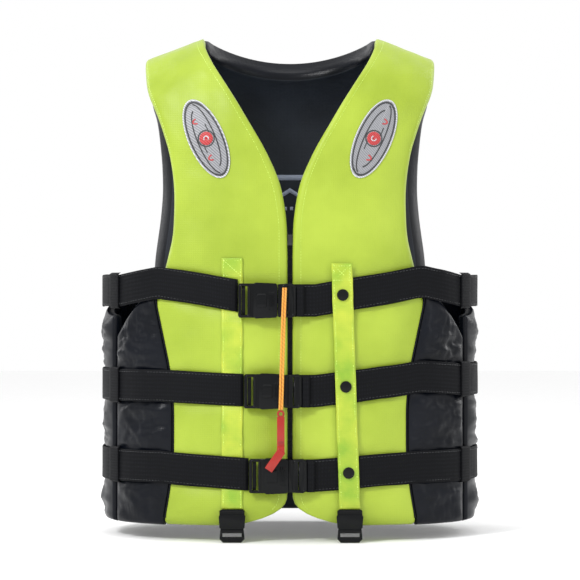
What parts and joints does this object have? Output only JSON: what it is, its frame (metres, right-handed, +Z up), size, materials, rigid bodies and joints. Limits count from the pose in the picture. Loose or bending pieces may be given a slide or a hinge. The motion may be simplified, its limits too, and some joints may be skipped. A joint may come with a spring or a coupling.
{
  "type": "life jacket",
  "caption": "Sleeveless foam buoyancy vest in its worn shape, with a zipped and buckled front, waist belts, snap and crotch straps and a whistle.",
  "frame": {"origin": "middle of the hem plane, on the vest's left-right centre and its widest line, where the wearer's waist passes through", "axes": "+Z up from hem to shoulders, -Y is the front, +X is the right side as seen from the front"},
  "size_m": [0.47, 0.3069, 0.6191],
  "materials": {
    "lime_cloth": "satin",
    "dark_nylon": "satin",
    "foam": "matte",
    "black_webbing": "matte",
    "black_plastic": "satin",
    "patch_thread": "satin",
    "whistle_plastic": "gloss",
    "lanyard_cord": "matte",
    "zip_metal": "satin"
  },
  "bodies": {
    "root": {"back_cover": "dark_nylon", "back_foam": "foam", "back_lining": "dark_nylon", "buckle_socket_1": "black_plastic", "buckle_socket_2": "black_plastic", "buckle_socket_3": "black_plastic", "chest_patch_left": "patch_thread", "chest_patch_right": "patch_thread", "front_cover_left": "lime_cloth", "front_cover_right": "lime_cloth", "front_foam_left": "foam", "front_foam_right": "foam", "front_lining_left": "dark_nylon", "front_lining_right": "dark_nylon", "left_strap": "lime_cloth", "shoulder_yoke_left": "lime_cloth", "shoulder_yoke_right": "lime_cloth", "side_panel_back_left": "dark_nylon", "side_panel_back_right": "dark_nylon", "side_panel_front_left": "dark_nylon", "side_panel_front_right": "dark_nylon", "snap_stud_1": "black_plastic", "snap_stud_2": "black_plastic", "snap_stud_3": "black_plastic", "waist_belt_1": "black_webbing", "waist_belt_2": "black_webbing", "waist_belt_3": "black_webbing", "zip_tape_left": "black_webbing", "zip_tape_right": "black_webbing"},
    "plug_1": {"buckle_plug_1": "black_plastic", "belt_tail_1": "black_webbing"},
    "arm_lower_1": {"buckle_arm_lower_1": "black_plastic"},
    "arm_upper_1": {"buckle_arm_upper_1": "black_plastic"},
    "plug_2": {"buckle_plug_2": "black_plastic", "belt_tail_2": "black_webbing"},
    "arm_lower_2": {"buckle_arm_lower_2": "black_plastic"},
    "arm_upper_2": {"buckle_arm_upper_2": "black_plastic"},
    "plug_3": {"buckle_plug_3": "black_plastic", "belt_tail_3": "black_webbing"},
    "arm_lower_3": {"buckle_arm_lower_3": "black_plastic"},
    "arm_upper_3": {"buckle_arm_upper_3": "black_plastic"},
    "snap_strap_body": {"snap_strap": "lime_cloth", "snap_cap_1": "black_plastic", "snap_cap_2": "black_plastic", "snap_cap_3": "black_plastic"},
    "crotch_socket_left_body": {"crotch_socket_left": "black_plastic"},
    "crotch_plug_left_body": {"crotch_plug_left": "black_plastic"},
    "crotch_arm_1_left_body": {"crotch_arm_1_left": "black_plastic"},
    "crotch_arm_2_left_body": {"crotch_arm_2_left": "black_plastic"},
    "crotch_socket_right_body": {"crotch_socket_right": "black_plastic"},
    "crotch_plug_right_body": {"crotch_plug_right": "black_plastic"},
    "crotch_arm_1_right_body": {"crotch_arm_1_right": "black_plastic"},
    "crotch_arm_2_right_body": {"crotch_arm_2_right": "black_plastic"},
    "lanyard": {"whistle_lanyard": "lanyard_cord"},
    "whistle_body": {"whistle": "whistle_plastic"},
    "zip_slider_body": {"zip_slider": "zip_metal"}
  },
  "joints": [
    {"name": "plug_slide_1", "type": "slide", "parent": "root", "child": "plug_1", "axis": [1, 0, 0], "range_m": [0, 0.026]},
    {"name": "arm_lower_flex_1", "type": "hinge", "parent": "plug_1", "child": "arm_lower_1", "pos_m": [-0.017, -0.1476, 0.257], "axis": [0, 1, 0], "range_deg": [0, 12]},
    {"name": "arm_upper_flex_1", "type": "hinge", "parent": "plug_1", "child": "arm_upper_1", "pos_m": [-0.017, -0.1476, 0.2866], "axis": [0, -1, 0], "range_deg": [0, 12]},
    {"name": "plug_slide_2", "type": "slide", "parent": "root", "child": "plug_2", "axis": [1, 0, 0], "range_m": [0, 0.026]},
    {"name": "arm_lower_flex_2", "type": "hinge", "parent": "plug_2", "child": "arm_lower_2", "pos_m": [-0.01, -0.1476, 0.1484], "axis": [0, 1, 0], "range_deg": [0, 12]},
    {"name": "arm_upper_flex_2", "type": "hinge", "parent": "plug_2", "child": "arm_upper_2", "pos_m": [-0.01, -0.1476, 0.178], "axis": [0, -1, 0], "range_deg": [0, 12]},
    {"name": "plug_slide_3", "type": "slide", "parent": "root", "child": "plug_3", "axis": [1, 0, 0], "range_m": [0, 0.026]},
    {"name": "arm_lower_flex_3", "type": "hinge", "parent": "plug_3", "child": "arm_lower_3", "pos_m": [-0.004, -0.1476, 0.047], "axis": [0, 1, 0], "range_deg": [0, 12]},
    {"name": "arm_upper_flex_3", "type": "hinge", "parent": "plug_3", "child": "arm_upper_3", "pos_m": [-0.004, -0.1476, 0.0766], "axis": [0, -1, 0], "range_deg": [0, 12]},
    {"name": "snap_strap_lift", "type": "hinge", "parent": "root", "child": "snap_strap_body", "pos_m": [0.062, -0.14394, 0.3162], "axis": [1, 0, 0], "range_deg": [-100, 0]},
    {"name": "crotch_swing_left", "type": "hinge", "parent": "root", "child": "crotch_socket_left_body", "pos_m": [-0.0695, -0.14454, 0.0219], "axis": [1, 0, 0], "range_deg": [-70, 0]},
    {"name": "crotch_plug_slide_left", "type": "slide", "parent": "crotch_socket_left_body", "child": "crotch_plug_left_body", "axis": [0, 0, -1], "range_m": [0, 0.017]},
    {"name": "crotch_arm_1_flex_left", "type": "hinge", "parent": "crotch_plug_left_body", "child": "crotch_arm_1_left_body", "pos_m": [-0.0799, -0.14304, -0.0002], "axis": [0, 1, 0], "range_deg": [0, 14.5]},
    {"name": "crotch_arm_2_flex_left", "type": "hinge", "parent": "crotch_plug_left_body", "child": "crotch_arm_2_left_body", "pos_m": [-0.0591, -0.14304, -0.0002], "axis": [0, -1, 0], "range_deg": [0, 14.5]},
    {"name": "crotch_swing_right", "type": "hinge", "parent": "snap_strap_body", "child": "crotch_socket_right_body", "pos_m": [0.07178, -0.146, 0.0219], "axis": [1, 0, 0], "range_deg": [-70, 0]},
    {"name": "crotch_plug_slide_right", "type": "slide", "parent": "crotch_socket_right_body", "child": "crotch_plug_right_body", "axis": [0, 0, -1], "range_m": [0, 0.017]},
    {"name": "crotch_arm_1_flex_right", "type": "hinge", "parent": "crotch_plug_right_body", "child": "crotch_arm_1_right_body", "pos_m": [0.06138, -0.1445, -0.0002], "axis": [0, 1, 0], "range_deg": [0, 14.5]},
    {"name": "crotch_arm_2_flex_right", "type": "hinge", "parent": "crotch_plug_right_body", "child": "crotch_arm_2_right_body", "pos_m": [0.08218, -0.1445, -0.0002], "axis": [0, -1, 0], "range_deg": [0, 14.5]},
    {"name": "lanyard_swing", "type": "hinge", "parent": "plug_1", "child": "lanyard", "pos_m": [-0.0065, -0.1512, 0.287], "axis": [1, 0, 0], "range_deg": [-80, 0]},
    {"name": "whistle_swing", "type": "hinge", "parent": "lanyard", "child": "whistle_body", "pos_m": [-0.011, -0.1584, 0.1366], "axis": [1, 0, 0], "range_deg": [-60, 0]},
    {"name": "zip_run", "type": "slide", "parent": "root", "child": "zip_slider_body", "axis": [0, 0, -1], "range_m": [0, 0.285]}
  ],
  "couplings": [
    {"joint": "arm_lower_flex_1", "follows": "plug_slide_1", "rad_per_m": 8.05},
    {"joint": "arm_upper_flex_1", "follows": "plug_slide_1", "rad_per_m": 8.05},
    {"joint": "arm_lower_flex_2", "follows": "plug_slide_2", "rad_per_m": 8.05},
    {"joint": "arm_upper_flex_2", "follows": "plug_slide_2", "rad_per_m": 8.05},
    {"joint": "arm_lower_flex_3", "follows": "plug_slide_3", "rad_per_m": 8.05},
    {"joint": "arm_upper_flex_3", "follows": "plug_slide_3", "rad_per_m": 8.05},
    {"joint": "crotch_arm_1_flex_left", "follows": "crotch_plug_slide_left", "rad_per_m": 14.88},
    {"joint": "crotch_arm_2_flex_left", "follows": "crotch_plug_slide_left", "rad_per_m": 14.88},
    {"joint": "crotch_arm_1_flex_right", "follows": "crotch_plug_slide_right", "rad_per_m": 14.88},
    {"joint": "crotch_arm_2_flex_right", "follows": "crotch_plug_slide_right", "rad_per_m": 14.88}
  ]
}
